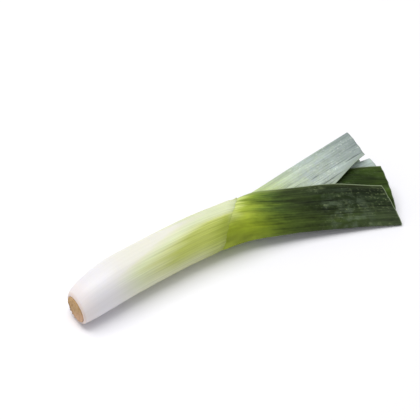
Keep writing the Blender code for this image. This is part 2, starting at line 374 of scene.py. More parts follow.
def collar_rings():
    """Rings that slant more and more; the radius goes from the plain one to the leaf's by the thinning."""
    rings = []
    for s in 1 - (1 - np.linspace(0, 1, 40)[1:]) ** 1.4:
        x = POCKET_X + (shaft_mouth - POCKET_X) * s
        depth = shaft_mouth - x
        body = SHAFT_R + shaft_relief(x, shaft_bearing)
        edge = first_leaf_radius(x, shaft_bearing) + leaf_rise(-depth) + EDGE
        thin = ramp(depth, 0.0, THIN_RUN)
        rings.append(ring(x, edge + (body - edge) * thin, LEAF_AXIS + (body - SINK - LEAF_AXIS) * thin))
    return rings


def lining_rings():
    """Back down inside, a hair outside the first leaf: 0.04 mm at the edge and 0.28 mm further in."""
    rings = []
    for s in np.linspace(1, 0, 14):
        x = POCKET_X + (shaft_mouth - POCKET_X) * s
        depth = shaft_mouth - x
        leaf = first_leaf_radius(x, shaft_bearing) + leaf_rise(-depth)
        rings.append(ring(x, leaf + 0.04 + 0.24 * ramp(depth, 2, 12), LEAF_AXIS))
    return rings


# %% [markdown]
# The skin's pattern follows the grain: mm along the shaft, and two coordinates round it. One side of the
# shaft stays white for longer, so that side is marked on the points too, and so is the distance from the
# collar's edge.

# %% Make the shaft
shaft_rows = np.array(butt_rings() + side_rings() + collar_rings() + lining_rings())
rows, around = shaft_rows.shape[:2]
WHITEST = math.radians(72)     # bearing of the side that stays white for longest
white_side = np.maximum(0.0, np.cos(shaft_bearing - WHITEST)) ** 4
grain = np.stack([shaft_rows[..., 0], np.broadcast_to(SHAFT_R * np.cos(shaft_bearing), (rows, around)),
                  np.broadcast_to(SHAFT_R * np.sin(shaft_bearing), (rows, around))], axis=-1)
shaft = add_piece(
    "leek_shaft", shaft_rows.reshape(-1, 3), cells(rows, around, wrap=True),
    caps=(range(around - 1, -1, -1), range((rows - 1) * around, rows * around)),
    attributes={"grain": grain.reshape(-1, 3),
                "white_side": np.broadcast_to(white_side, (rows, around)).ravel(),
                "rim": (shaft_mouth - shaft_rows[..., 0]).ravel()})
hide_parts("shaft")
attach(shaft, "root")

# %% [markdown]
# ## The leaves
#
# A blade is a strap folded along its keel. Its two faces are two grids, from the upper margin over the
# fold to the lower margin, and four narrow strips close the cut end, the base and the margins. Real
# leaves are pleated along their length, with finer veins on the pleats, and thin out to their margins.
# The veins are in the mesh and not only in a bump map, because they catch the light even from a step away.

# %% Relief of a leaf
VEIN_GAP = 2.3      # mm between a blade's veins, about twice the real spacing, so that they show
VEIN_DEPTH = 0.10   # mm of the grooves between them


def pleats(x, q, k, near):
    """Broad ridges along a blade, the same on both faces: a sine of the distance from the fold."""
    d = np.abs(q - folds[k](x))
    size = PLEAT if near else PLEAT_LOW
    return size * ramp(x, 170, 215) * ramp(d, 3, 12) * np.sin(2 * math.pi * d / PLEAT_WIDTH + 1.3 * k)


def veins(x, d, k):
    """1 on a vein, 0 between: a cosine of the distance from the fold, each groove with its own strength."""
    n = d / VEIN_GAP + 0.25 * wander(x / 120, d / 60, 40 + k)
    strong = 0.2 + 0.8 * dice(n, 11 + k)
    return 1 - (0.5 - 0.5 * np.cos(2 * math.pi * n)) * strong * ramp(d, 0.4, 2.5)


# %% [markdown]
# One half of a leaf is a grid of its own: rows along it, columns from the fold to the margin. In the
# shaft it fills its shell, so its columns are spread round like points on a circle. Where it is free it
# has the width of its blade, or that of its shell where the blade would be too wide for it.

# %% Outline of half a leaf
THICKNESS, MARGIN = 1.15, 0.75     # mm at the fold and at the margin
SOFT = 1.5                         # mm over which one width goes over into the other
NEARLY_ROUND = 0.88 * math.pi      # how far round its shell a leaf's half reaches


def leaf_half(k, widths, end, slant, rows, cols):
    """x, width, share of the width from the fold, and thickness; the width is a soft minimum of two."""
    even = np.linspace(0, 1, cols)
    s = np.linspace(0, 1, rows)[:, None]
    start = POCKET_X + 0.4
    x = start + (end + slant * even ** 1.1 - start) * s
    plus, minus = shell_edges(x, k, 0.0)
    free = ramp(x, 155, 195)
    round_t = (1 - np.cos(NEARLY_ROUND * even)) / (1 - math.cos(NEARLY_ROUND))
    t = round_t * (1 - free) + even ** 1.1 * free
    tube = plus - minus - BLADE - 0.6 - 2.5 * free
    base, middle, tip = widths
    blade = base + (middle - base) * ramp(x, 180, 230) + (tip - middle) * ramp(x, 230, end)
    soft = -SOFT * np.log(np.exp(-blade / SOFT) + np.exp(-tube / SOFT))
    width = tube * (1 - free) + soft * free
    thickness = THICKNESS - (THICKNESS - MARGIN) * ramp(width * (1 - t), 7, 0) * free
    return x, width, t, thickness


# %% [markdown]
# The upper half and the lower half are then placed on the shell, once for the outer face and once for the
# inner one. The inner face is set in along the line between two shells, by the leaf's own thickness.

# %% Faces of a leaf
def joined(upper, lower):
    """Both halves side by side: the upper one turned round, then the lower one without the shared fold."""
    return np.concatenate([upper[:, ::-1], lower[:, 1:]], axis=1)


def leaf_grids(k, side, half):
    """Outer face, inner face and veins: the shell's height, plus the pleats, less the grooves."""
    x, width, t, thickness = half
    vein = veins(x, width * t, k)
    faces = []
    for skin in (0.0, 1.0):
        q = folds[k](x) - side * (skin * thickness + (width - skin * thickness) * t)
        halves = []
        for near in (True, False):
            groove = VEIN_DEPTH * (1 - vein) * (1 - 0.4 * skin) * ramp(x, 150, 190)
            lift = pleats(x, q, k, near) - (groove if near else -groove)
            p = height(x, q, k, near, 0.0) * (1 - skin) + height(x, q, k, near, BLADE) * skin
            if skin:
                outer = height(x, folds[k](x) - side * width * t, k, near, 0.0)
                p = outer + (p - outer) * (thickness / BLADE)
            halves.append(place(x, q, p + lift))
        faces.append(joined(*halves))
    return faces[0], faces[1], joined(vein, vein)


# %% [markdown]
# The collar presses the first leaf in, and beyond it the leaf fills out again. On the other leaves the
# distance beyond the collar only serves the colours.

# %% How the first leaf fills out
def beyond_collar(points):
    """How far points lie beyond the collar in x, and where they lie from the shaft's axis in y and z."""
    out = np.stack([points[..., 1] + centre(points[..., 0]), points[..., 2] - SHAFT_R + SINK], axis=-1)
    return points[..., 0] - mouth_x(np.arctan2(out[..., 1], out[..., 0])), out


def swell(points):
    """Push the leaf out from the axis where it has left the collar, up to where the blade opens."""
    free, out = beyond_collar(points)
    size = leaf_rise(free) * (1 - ramp(points[..., 0], 172, 205))
    out = out / np.linalg.norm(out, axis=-1, keepdims=True) * size[..., None]
    return points + np.concatenate([np.zeros_like(size)[..., None], out], axis=-1)


# %% [markdown]
# The outline of a leaf's grid is walked once round, and each step of the walk joins the outer face's
# point to the inner face's. That closes the leaf with a real cut edge of its own thickness.

# %% Make the leaves
GRAIN_STEP = 40.0     # sets the patterns of two leaves apart


def leaf_quads(rows, cols, side):
    """Outer face, inner face turned over, and the strip along the walk; all turned over on side -1."""
    count = rows * cols
    walk = np.concatenate([np.arange(cols), np.arange(1, rows) * cols + cols - 1,
                           (rows - 1) * cols + np.arange(cols - 2, -1, -1),
                           np.arange(rows - 2, 0, -1) * cols])
    step = np.roll(walk, -1)
    strip = np.stack([walk, count + walk, count + step, step], axis=-1)
    quads = np.concatenate([cells(rows, cols), cells(rows, cols, start=count, flip=True), strip])
    return quads[:, ::-1] if side < 0 else quads


def make_leaf(name, k):
    """Build leaf k, closed on all sides, with the attributes that its material reads."""
    side, _, widths, end, slant = LEAVES[name]
    half = leaf_half(k, widths, end, slant, rows=170, cols=96)
    outer, inner, vein = leaf_grids(k, side, half)
    free = beyond_collar(outer)[0]
    if k == 0:
        outer, inner = swell(outer), swell(inner)
    outer[..., 2] = np.maximum(outer[..., 2], 0.0)
    _, width, t, _ = half
    across = joined(width * t, -width * t)
    margin = joined(width * (1 - t), width * (1 - t))
    x = outer[..., 0]
    grain = np.stack([x, across, np.full_like(x, GRAIN_STEP * k)], axis=-1).reshape(-1, 3)
    rim = np.stack([margin, x[-1] - x, free], axis=-1).reshape(-1, 3)
    points = np.concatenate([outer.reshape(-1, 3), inner.reshape(-1, 3)])
    piece = add_piece("leek_" + name, points, leaf_quads(*x.shape, side), attributes={
        "grain": np.concatenate([grain, grain]), "rim": np.concatenate([rim, rim]),
        "vein": np.tile(vein.ravel(), 2), "inside": np.repeat([0.0, 1.0], x.size)})
    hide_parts(name)
    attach(piece, "root")
    return piece


leaves = {name: make_leaf(name, k) for k, name in enumerate(LEAVES)}

# %% [markdown]
# ## The heart
#
# The youngest leaves are still rolled in one another, hidden between the blades, and cut off short. From
# the cut end they show as flat rings. The body is a tube through the innermost shell's outline, and its
# end is the same outline drawn in towards the middle, with a groove between one leaf and the next.

# %% Shape of the heart
HEART_LEAVES = 4     # rolled leaves seen on the cut
GROOVE = 0.7         # mm
SIDE_ROWS = 110      # rows of points along its side; those of its end follow


def heart_rows(around=200, skin=0.3):
    """The shell's outline at each x, then the end's rings, sunk by a sharpened cosine where leaves meet."""
    k = len(LEAVES)
    turn = np.arange(around) * 2 * math.pi / around
    x = np.linspace(POCKET_X + 0.4, HEART_END, SIDE_ROWS)[:, None] + 0 * turn
    plus, minus = shell_edges(x, k, skin)
    q = (plus + minus) / 2 + (plus - minus) / 2 * np.cos(turn)
    p = np.where(np.sin(turn) >= 0, height(x, q, k, True, skin), height(x, q, k, False, skin))
    body = place(x, q, p)
    body[..., 2] += 0.05 * np.cos(24 * turn) * ramp(x, 150, 190)
    middle = body[-1].mean(axis=0)
    size = np.linspace(1, 0.04, 50)[1:, None, None]
    end = middle + (body[-1] - middle) * size
    end[..., 0] -= GROOVE * (0.5 - 0.5 * np.cos(2 * math.pi * HEART_LEAVES * size[..., 0])) ** 3
    return np.concatenate([body, end]), turn


# %% [markdown]
# The heart wears a leaf's finish, so it carries the same attributes as a leaf. Only its cut end counts as
# a rim. It has no grooves between veins and no inner face, so those two are the same all over.

# %% Make the heart
heart_points, heart_turn = heart_rows()
rows, around = heart_points.shape[:2]
arc = np.broadcast_to(12 * np.sin(heart_turn) + 30 * np.cos(heart_turn), (rows, around))
own_grain = np.full((rows, around), 5 * GRAIN_STEP)
grain = np.stack([heart_points[..., 0], arc, own_grain], axis=-1).reshape(-1, 3)
from_cut = np.repeat(9.0 * (np.arange(rows) < SIDE_ROWS), around)
heart = add_piece("leek_heart", heart_points.reshape(-1, 3), cells(rows, around, wrap=True, flip=True),
                  caps=(range(around), range(rows * around - 1, (rows - 1) * around - 1, -1)),
                  attributes={"grain": grain, "rim": np.stack([from_cut] * 3, axis=-1),
                              "vein": np.ones(rows * around), "inside": np.zeros(rows * around)})
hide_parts("heart")
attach(heart, "root")

# %% [markdown]
# ## The root plate
#
# The roots grow from a short corky disc, the real stem of the leek. It is pared flat here, and what is
# left of each root is a low stub. One height field over the disc holds the shallow dome, the stubs, the
# rings of older leaf bases and the rough cork, so it stays a single closed skin.

# %% Height of the root plate's face
OUTER_STUBS, INNER_STUBS = 17, 9     # roots left in a ring near the rim, and scattered further in
GOLDEN_SHARE = 0.382                 # share of a turn between one inner stub and the next, so none line up


def stub_heights(y, z):
    """Low stubs with soft sides and a dimple on top, each with its own place, size and height."""
    h = 0.0
    rng = np.random.default_rng(7)
    for i in range(OUTER_STUBS + INNER_STUBS):
        outer = i < OUTER_STUBS
        share = i / ((OUTER_STUBS + INNER_STUBS) * 2 / 3) if outer else i * GOLDEN_SHARE
        a = 2 * math.pi * share + rng.uniform(-0.12, 0.12)
        far = rng.uniform(7.9, 9.1) if outer else rng.uniform(2.4, 6.1)
        r, out = rng.uniform(0.45, 0.75), rng.uniform(0.35, 0.9)
        rng.uniform(0, 1)     # one number is passed over, so that the later ones stay what they are
        gap = np.hypot(y - far * math.cos(a), z - far * math.sin(a))
        h = h + (out - 0.25 * ramp(gap, 0.5 * r, 0)) * ramp(gap, r * 1.25, r * 0.7)
    return h


def plate_height(y, z):
    """Height of the disc's face over its rim: a dome, roughness in two sizes, faint rings and the stubs."""
    reach = np.hypot(y, z)
    dome = 0.75 * (1 - (reach / PLATE_R) ** 2)
    rough = 0.10 * wander(y / 5, z / 5, 21) + 0.04 * wander(y / 1.6, z / 1.6, 22)
    rings = 0.05 * np.cos(2 * math.pi * (reach + 0.5 * wander(y / 9, z / 9, 23)) / 1.9)
    return dome + rough + rings + stub_heights(y, z)


# %% [markdown]
# The plate's rows of points start in the middle of its face. They run out to the rim, round it and to the
# back, where a flat cap closes the disc. It stands in the recess with a narrow gap round it.

# %% Make the root plate
def plate_rows(rings=90, around=320):
    """Circles of growing radius with the face's height, then five plain ones for the rim and the back."""
    turn = np.arange(around) * 2 * math.pi / around
    reach = (PLATE_R - 0.5) * np.linspace(0.01, 1, rings)[:, None]
    y, z = reach * np.cos(turn), reach * np.sin(turn)
    face = np.stack([PLATE_FACE + 0.5 - plate_height(y, z), y, z], axis=-1)
    sides = []
    for x, r in ((PLATE_FACE + 0.65, PLATE_R - 0.2), (PLATE_FACE + 1.0, PLATE_R),
                 (PLATE_FACE + 1.9, PLATE_R), (PLATE_BACK - 0.5, PLATE_R), (PLATE_BACK, PLATE_R - 0.6)):
        sides.append(np.stack([x + 0 * turn, r * np.cos(turn), r * np.sin(turn)], axis=-1))
    return np.concatenate([face, np.array(sides)])


plate_points = plate_rows()
rows, around = plate_points.shape[:2]
from_middle = plate_points.reshape(-1, 3).copy()
plate_points[..., 2] += radius(LIP_X) - SINK
plate = add_piece("leek_root_plate", plate_points.reshape(-1, 3), cells(rows, around, wrap=True, flip=True),
                  caps=(range(around), range(rows * around - 1, (rows - 1) * around - 1, -1)),
                  attributes={"from_middle": from_middle})
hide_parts("root_plate")
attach(plate, "root")

# %% [markdown]
# ## Colours and nodes
#
# Colours are written as they look on a screen, in hex, and turned to the linear values that light is
# reckoned in. One helper adds any shader node with its settings, its values and its links. A node has
# more sockets than it shows, so the helper counts only those in use.

# %% Colour and node helpers
EASED = {"interpolation_type": "SMOOTHSTEP"}     # for a MapRange node that starts and ends softly
COLOURS = {"data_type": "RGBA"}                  # for a Mix node: factor, first and second colour
TIMES = {"operation": "MULTIPLY"}                # for a Math or VectorMath node
LESS = {"operation": "SUBTRACT"}
TIMES_PLUS = {"operation": "MULTIPLY_ADD"}       # the first times the second, plus the third


def linear(code):
    """sRGB hex to linear: each channel is divided by 12.92 near black, else raised to the power 2.4."""
    c = [int(code[i:i + 2], 16) / 255 for i in (1, 3, 5)]
    return tuple(v / 12.92 if v <= 0.04045 else ((v + 0.055) / 1.055) ** 2.4 for v in c) + (1.0,)


def add(tree, kind, inputs=(), stops=(), **settings):
    """Add a node and give back its outputs in use.

    The inputs are values, or outputs of other nodes to be linked: in the sockets' order, or by name. The
    stops are the places and hex colours of a colour ramp.
    """
    node = tree.nodes.new("ShaderNode" + kind)
    for key, value in settings.items():
        setattr(node, key, value)
    if not isinstance(inputs, dict):
        inputs = dict(enumerate(inputs))
    in_use = [socket for socket in node.inputs if socket.enabled]
    for key, value in inputs.items():
        socket = node.inputs[key] if isinstance(key, str) else in_use[key]
        if isinstance(value, bpy.types.NodeSocket):
            tree.links.new(value, socket)
        else:
            socket.default_value = value
    if stops:
        band = node.color_ramp.elements
        while len(band) < len(stops):
            band.new(0.5)
        for element, (position, code) in zip(band, stops):
            element.position, element.color = position, linear(code)
    return [socket for socket in node.outputs if socket.enabled]


def new_finish(name):
    """A new material, its nodes and its Principled shader."""
    material = bpy.data.materials.new(name)
    material.use_nodes = True
    return material, material.node_tree, material.node_tree.nodes["Principled BSDF"]


# %% [markdown]
# Every pattern here is the same cloudy noise, squeezed and stretched. Its size is given in mm to a wave,
# so that it can be set against the real leaf. Like sizes along and across give clouds and spots, and a
# long one with a short one gives streaks.

# %% A pattern sized in millimetres
def pattern(tree, vector, size, detail=3.0, roughness=0.5):
    """Noise of a vector in mm that is first divided by size, the mm to a wave in each direction."""
    per_mm = tuple(1 / s for s in size)
    stretched = add(tree, "VectorMath", (vector, per_mm), **TIMES)[0]
    return add(tree, "TexNoise", (stretched, 1.0, detail, roughness))[0]


# %% [markdown]
# ## Leaf skin
#
# A leek leaf is green under a thin bluish bloom of wax. The bloom is what makes a leaf grey-green, and
# where it has been rubbed off the dark green shows. The colour changes along the leaf, from the pale
# base to the green blade, and breaks up into streaks because it follows the veins. So every pattern
# reads the leaf's own grain: mm along it, mm across it, and a number for the leaf. An Attribute node gives
# what it reads as a colour, a vector and a number, in this order.

# %% What a leaf's points tell its material
def read_leaf(tree):
    """The attributes as outputs: grain, its parts, distances from margin, cut and collar, vein, inside."""
    grain = add(tree, "Attribute", attribute_name="grain")[1]
    along, across, _ = add(tree, "SeparateXYZ", (grain,))
    rim = add(tree, "Attribute", attribute_name="rim")[1]
    margin, cut, free = add(tree, "SeparateXYZ", (rim,))
    from_fold = add(tree, "Math", (across,), operation="ABSOLUTE")[0]
    vein = add(tree, "Attribute", attribute_name="vein")[2]
    inside = add(tree, "Attribute", attribute_name="inside")[2]
    return SimpleNamespace(grain=grain, along=along, from_fold=from_fold, margin=margin, cut=cut, free=free,
                           vein=vein, inside=inside)


# %% [markdown]
# The green doesn't start on a line. It runs down the veins in tongues, so a streaky pattern moves each
# point some way up or down the colour ramp. Along the keel a leaf has colours of its own. What the collar
# covered a short time ago is paler, except at the keel.

# %% Colour along a leaf
LEAF_START, LEAF_END = 135.0, 290.0     # x between which the colour changes, mm
TONGUES = 38.0                          # mm by which the tongues move a colour along the leaf


def grown_colour(tree, leaf, recipe):
    """Place on the ramp, and the colour: two ramps mixed by the distance from the fold, and a pale zone."""
    streaky = pattern(tree, leaf.grain, (60, 4.5, 1), 3, 0.6)
    tongue = add(tree, "Math", (streaky, 0.5), **LESS)[0]
    moved = add(tree, "Math", (tongue, TONGUES, leaf.along), **TIMES_PLUS)[0]
    position = add(tree, "MapRange", (moved, LEAF_START, LEAF_END))[0]
    outer = add(tree, "ValToRGB", (position,), stops=recipe["outer"])[0]
    keel = add(tree, "ValToRGB", (position,), stops=recipe["keel"])[0]
    at_keel = add(tree, "MapRange", (leaf.from_fold, *recipe["keel_band"], 0.0, 0.8), **EASED)[0]
    skin = add(tree, "Mix", (at_keel, outer, keel), **COLOURS)[0]
    near_collar = add(tree, "Math", (tongue, 30.0, leaf.free), **TIMES_PLUS)[0]
    covered = add(tree, "MapRange", (near_collar, 13.0, -4.0, 0.0, 0.75), **EASED)[0]
    off_keel = add(tree, "MapRange", (leaf.from_fold, 11.0, 22.0), **EASED)[0]
    low_down = add(tree, "MapRange", (leaf.along, 185.0, 170.0), **EASED)[0]
    covered = add(tree, "Math", (covered, off_keel), **TIMES)[0]
    covered = add(tree, "Math", (covered, low_down), **TIMES)[0]
    return position, add(tree, "Mix", (covered, skin, linear("#D0D98C")), **COLOURS)[0]


# %% [markdown]
# The bloom lies in soft patches on the blade, weaker towards the margin and near the cut. It could be a
# second, rougher shader on top, but all it gives the eye is a greyer colour, so it is mixed in as one.

# %% Bloom
def with_bloom(tree, leaf, skin, amount, colour):
    """Mix in the bloom by a cloudy pattern that is faded out along the leaf and away from the fold."""
    cloudy = pattern(tree, leaf.grain, (8.5, 6, 1), 4, 0.65)
    haze = add(tree, "MapRange", (cloudy, 0.42, 0.64), **EASED)[0]
    to_margin = add(tree, "MapRange", (leaf.from_fold, 32, 22, 0.35, 1.0), **EASED)[0]
    blade = add(tree, "MapRange", (leaf.along, 215, 234, 0.0, amount), **EASED)[0]
    to_cut = add(tree, "MapRange", (leaf.along, 270, 250, 0.12, 1.0), **EASED)[0]
    haze = add(tree, "Math", (haze, to_margin), **TIMES)[0]
    patch = add(tree, "Math", (blade, to_cut), **TIMES)[0]
    haze = add(tree, "Math", (haze, patch), **TIMES)[0]
    return add(tree, "Mix", (haze, skin, linear(colour)), **COLOURS)[0]


# %% [markdown]
# Handling leaves small rub marks, in groups. Real ones are often under a millimetre across. They are
# drawn about twice as coarse, from waves of about 2 mm and 4 mm, so that they show.

# %% Rub marks
def with_rubs(tree, leaf, skin, amount, colour):
    """Mix in the marks: the larger of two spotted patterns, only where a wide cloud lets them through."""
    cloud = pattern(tree, leaf.grain, (19, 11, 1), 2)
    where = add(tree, "MapRange", (cloud, 0.38, 0.62), **EASED)[0]
    fine_spots = pattern(tree, leaf.grain, (2.2, 1.8, 1), 1)
    dot = add(tree, "MapRange", (fine_spots, 0.58, 0.74), **EASED)[0]
    wide_spots = pattern(tree, leaf.grain, (4.6, 3.8, 1), 2)
    spot = add(tree, "MapRange", (wide_spots, 0.52, 0.74, 0.0, 0.6), **EASED)[0]
    marks = add(tree, "Math", (dot, spot), operation="MAXIMUM")[0]
    marks = add(tree, "Math", (marks, where), **TIMES)[0]
    blade = add(tree, "MapRange", (leaf.along, 200, 240, 0.0, amount), **EASED)[0]
    marks = add(tree, "Math", (marks, blade), **TIMES)[0]
    return add(tree, "Mix", (marks, skin, linear(colour)), **COLOURS)[0]


# %% [markdown]
# Light and dark run along the grain: the veins, streaks of several widths, short flecks, and here and
# there a dark line. Broad clouds lie under them. All of it is added up into one number that makes the
# skin brighter or darker. The finest streaks are 1.3 mm wide, coarser than on a real leaf.

# %% Streaks, clouds and dark lines
STREAKS = (((210, 2.6, 1), 0.9), ((14, 3.4, 1), 1.0), ((2.8, 1.6, 1), 0.6))     # size in mm, strength
FINE_STREAKS = 1.3                                                              # strength of the finest


def brightness(tree, leaf, fine, streaks, clouds, lines):
    """1, plus each pattern less its mean times its strength, less the dark lines."""
    veined = add(tree, "Math", (leaf.vein, 0.75), **LESS)[0]
    uneven = add(tree, "Math", (veined, 0.35), **TIMES)[0]
    for size, part in STREAKS:
        uneven = add(tree, "Math", (uneven, part / 2), **LESS)[0]
        uneven = add(tree, "Math", (pattern(tree, leaf.grain, size, 2), part, uneven), **TIMES_PLUS)[0]
    uneven = add(tree, "Math", (uneven, FINE_STREAKS / 2), **LESS)[0]
    uneven = add(tree, "Math", (fine, FINE_STREAKS, uneven), **TIMES_PLUS)[0]
    strength = add(tree, "MapRange", (leaf.along, 150, 205, 0.33 * streaks, streaks), **EASED)[0]
    value = add(tree, "Math", (uneven, strength, 1.0 - clouds / 2), **TIMES_PLUS)[0]
    cloudy = pattern(tree, leaf.grain, (48, 11, 1), 3, 0.6)
    value = add(tree, "Math", (cloudy, clouds, value), **TIMES_PLUS)[0]
    thin = pattern(tree, leaf.grain, (32, 1.5, 1), 2, 0.6)
    line = add(tree, "MapRange", (thin, 0.57, 0.68, 0.0, lines), **EASED)[0]
    off_fold = add(tree, "MapRange", (leaf.from_fold, 6.0, 24.0, 0.2, 1.0), **EASED)[0]
    line = add(tree, "Math", (line, off_fold), **TIMES)[0]
    blade = add(tree, "MapRange", (leaf.along, 170, 205), **EASED)[0]
    line = add(tree, "Math", (line, blade), **TIMES)[0]
    return add(tree, "Math", (value, line), **LESS)[0]


# %% [markdown]
# The margins have less green in them: a wide pale border near the shaft, faint on the blade, and a hair
# line right at the margin and at the cut, where the light shines through the thin edge.

# %% Pale edges
def with_edges(tree, leaf, skin, border, edge):
    """Mix in yellow-green by the distance from the margin, then a paler line by the nearest edge."""
    wide = add(tree, "MapRange", (leaf.margin, 5.0, 0.8), **EASED)[0]
    strength = add(tree, "MapRange", (leaf.along, 210.0, 188.0, border, 0.45), **EASED)[0]
    wide = add(tree, "Math", (wide, strength), **TIMES)[0]
    skin = add(tree, "Mix", (wide, skin, linear("#A5B56E")), **COLOURS)[0]
    nearest = add(tree, "Math", (leaf.margin, leaf.cut), operation="MINIMUM")[0]
    hair = add(tree, "MapRange", (nearest, 0.9, 0.2, 0.0, edge), **EASED)[0]
    return add(tree, "Mix", (hair, skin, linear("#AFBD98")), **COLOURS)[0]


# %% [markdown]
# The steps are put together in the order in which they lie on a leaf. The inner face has its own colours,
# and the light and dark go over both. The surface is waxy: dull, with little gloss, and a trace of light
# that enters the skin and comes out again a millimetre away.

# %% Finish of a leaf
def leaf_finish(recipe):
    """A leaf's material from its recipe: colour, bloom, rub marks, lining, light and dark, pale edges."""
    material, tree, shader = new_finish(recipe["name"])
    leaf = read_leaf(tree)
    position, skin = grown_colour(tree, leaf, recipe)
    skin = with_bloom(tree, leaf, skin, *recipe["bloom"])
    skin = with_rubs(tree, leaf, skin, *recipe["rubs"])
    lining = add(tree, "ValToRGB", (position,), stops=recipe["lining"])[0]
    skin = add(tree, "Mix", (leaf.inside, skin, lining), **COLOURS)[0]
    fine = pattern(tree, leaf.grain, (50, 1.3, 1), 3, 0.65)
    value = brightness(tree, leaf, fine, recipe["streaks"], recipe["clouds"], recipe["lines"])
    skin = add(tree, "HueSaturation", {"Value": value, "Color": skin})[0]
    skin = with_edges(tree, leaf, skin, *recipe["pale"])
    relief = add(tree, "Bump", {"Height": fine, "Strength": 0.6, "Distance": 0.00015})[0]
    tree.links.new(skin, shader.inputs["Base Color"])
    tree.links.new(relief, shader.inputs["Normal"])
    shader.inputs["Roughness"].default_value = recipe["roughness"]
    shader.inputs["Specular IOR Level"].default_value = 0.12
    shader.inputs["Subsurface Weight"].default_value = 0.06
    shader.inputs["Subsurface Radius"].default_value = (0.6, 1.0, 0.25)
    shader.inputs["Subsurface Scale"].default_value = 0.001
    return material


# %% [markdown]
# The colour ramps go from the pale base of a leaf, at 0, to its cut end, at 1. Two leaves show their
# green face with little bloom on it, and two their grey-green one. The heart's leaves are young and pale.

# %% Colours of the leaves
GREEN = [(0.0, "#B4C155"), (0.14, "#A9B744"), (0.22, "#899A33"), (0.29, "#687D2B"), (0.37, "#465924"),
         (0.46, "#323F1A"), (0.6, "#222E12"), (0.75, "#1F2B13"), (1.0, "#222E17")]
GREEN_KEEL = [(0.0, "#8A991F"), (0.14, "#82931A"), (0.21, "#71821B"), (0.3, "#58681E"), (0.42, "#42511E"),
              (0.7, "#3A4824"), (1.0, "#444E36")]
GREEN_LINING = [(0.0, "#C3CE78"), (0.2, "#9DB04A"), (0.45, "#5E7A32"), (1.0, "#48652E")]
GREY = [(0.0, "#CDD993"), (0.34, "#B7CA7E"), (0.43, "#BECD9F"), (0.5, "#BBC9AB"), (0.65, "#B3BFAF"),
        (0.85, "#A0ACA4"), (1.0, "#8F9A96")]
GREY_KEEL = [(0.0, "#C8D391"), (0.35, "#B4C28E"), (0.48, "#A9B698"), (0.65, "#A3B19C"), (0.85, "#919E93"),
             (1.0, "#828D88")]
# This inner grey is lighter than the outer one partly as painted light, against the shadow that the
# grey-green leaf casts on it.
GREY_INNER_WITH_PAINTED_LIGHT = [(0.0, "#DCE6B4"), (0.35, "#D0DDB2"), (0.48, "#C8D5BC"), (0.65, "#C0CDBE"), (0.85, "#B9C6BD"),
              (1.0, "#B4C1BA")]
# The grey lining grows lighter towards the cut end: painted light on an inner face that lies in shade
# there.
GREY_LINING_WITH_PAINTED_LIGHT = [(0.0, "#D3DDA0"), (0.3, "#B8C68A"), (0.5, "#AABB95"), (1.0, "#BCC9BD")]
# The near-black middle of this ramp is painted shade, where the leaf leaves the others and lies in their
# shadow; the greens round it are the leaf's own.
GREEN_IN_PAINTED_SHADE = [(0.0, "#B9C65E"), (0.3, "#6E8238"), (0.55, "#0D1606"), (0.7, "#1A280A"), (0.85, "#2B3D0F"),
          (1.0, "#374A17")]
YOUNG = [(0.0, "#DDE6A0"), (0.5, "#BCCB62"), (1.0, "#A9BC52")]

# %% [markdown]
# A recipe gives its ramps, the band beside the fold where the keel's colours hold (mm from the fold, from
# none to full), how strong streaks, clouds and dark lines are, and for bloom and rub marks how much and
# which colour. The last two pairs are the pale border and edge line, and the roughness.

# %% Recipes of the leaves
RECIPES = {
    # Dark green and rubbed: glossy enough to show its pleats, cloudy, with a patch of thin bloom.
    "leaf_1": dict(name="rubbed green leek leaf", outer=GREEN, keel=GREEN_KEEL, keel_band=(22, 7),
                   lining=GREEN_LINING, streaks=1.0, clouds=2.2, lines=0.3, bloom=(0.46, "#5F6C57"),
                   rubs=(0.5, "#818D63"), pale=(0.06, 0.6), roughness=0.55),
    # Still under its wax: pale grey-green and dull, with dark lines and light rub marks.
    "leaf_2": dict(name="waxy grey-green leek leaf", outer=GREY, keel=GREY_KEEL, keel_band=(9, 2),
                   lining=GREY_LINING_WITH_PAINTED_LIGHT, streaks=0.38, clouds=0.4, lines=0.5, bloom=(0.45, "#B2BEC1"),
                   rubs=(0.65, "#D9E2D4"), pale=(0.1, 0.2), roughness=0.6),
    # Dark green, with painted shade: nearly black where it leaves the others and lies in their shadow, with
    # strong clouds.
    "leaf_3": dict(name="dark green leek leaf in painted shade", outer=GREEN_IN_PAINTED_SHADE, keel=GREEN_IN_PAINTED_SHADE, keel_band=(22, 7),
                   lining=GREEN_LINING, streaks=0.4, clouds=4.5, lines=0.15, bloom=(0.15, "#66735A"),
                   rubs=(0.15, "#8B987A"), pale=(0.04, 0.3), roughness=0.55),
    # Untouched inside the grey-green one: the palest and most even, and lighter still as painted light
    # where the grey-green leaf shades it.
    "leaf_4": dict(name="waxy inner leek leaf", outer=GREY_INNER_WITH_PAINTED_LIGHT, keel=GREY_INNER_WITH_PAINTED_LIGHT, keel_band=(9, 2),
                   lining=GREY_LINING_WITH_PAINTED_LIGHT, streaks=0.3, clouds=0.2, lines=0.3, bloom=(0.4, "#B8C5C0"),
                   rubs=(0.2, "#D6DFD2"), pale=(0.05, 0.2), roughness=0.6),
    # Young and moist: yellow-green, without bloom or rub marks.
    "heart": dict(name="young leek leaves", outer=YOUNG, keel=YOUNG, keel_band=(9, 2),
                  lining=GREEN_LINING, streaks=0.3, clouds=0.2, lines=0.1, bloom=(0.0, "#B4C2BE"),
                  rubs=(0.0, "#8B987A"), pale=(0.1, 0.4), roughness=0.5),
}
for name, piece in {**leaves, "heart": heart}.items():
    piece.data.materials.append(leaf_finish(RECIPES[name]))
    print(name, "wears", RECIPES[name]["name"])

# %% [markdown]
# ## Sheath skin
#
# The shaft is moist, slightly see-through leaf tissue: white where it grew in the dark and yellow-green
# towards the leaves. The green starts lower on the side that stood to the light. As on a leaf, it runs
# down in tongues. Underneath it is a duller beige, and at the butt the white has a touch of pink.

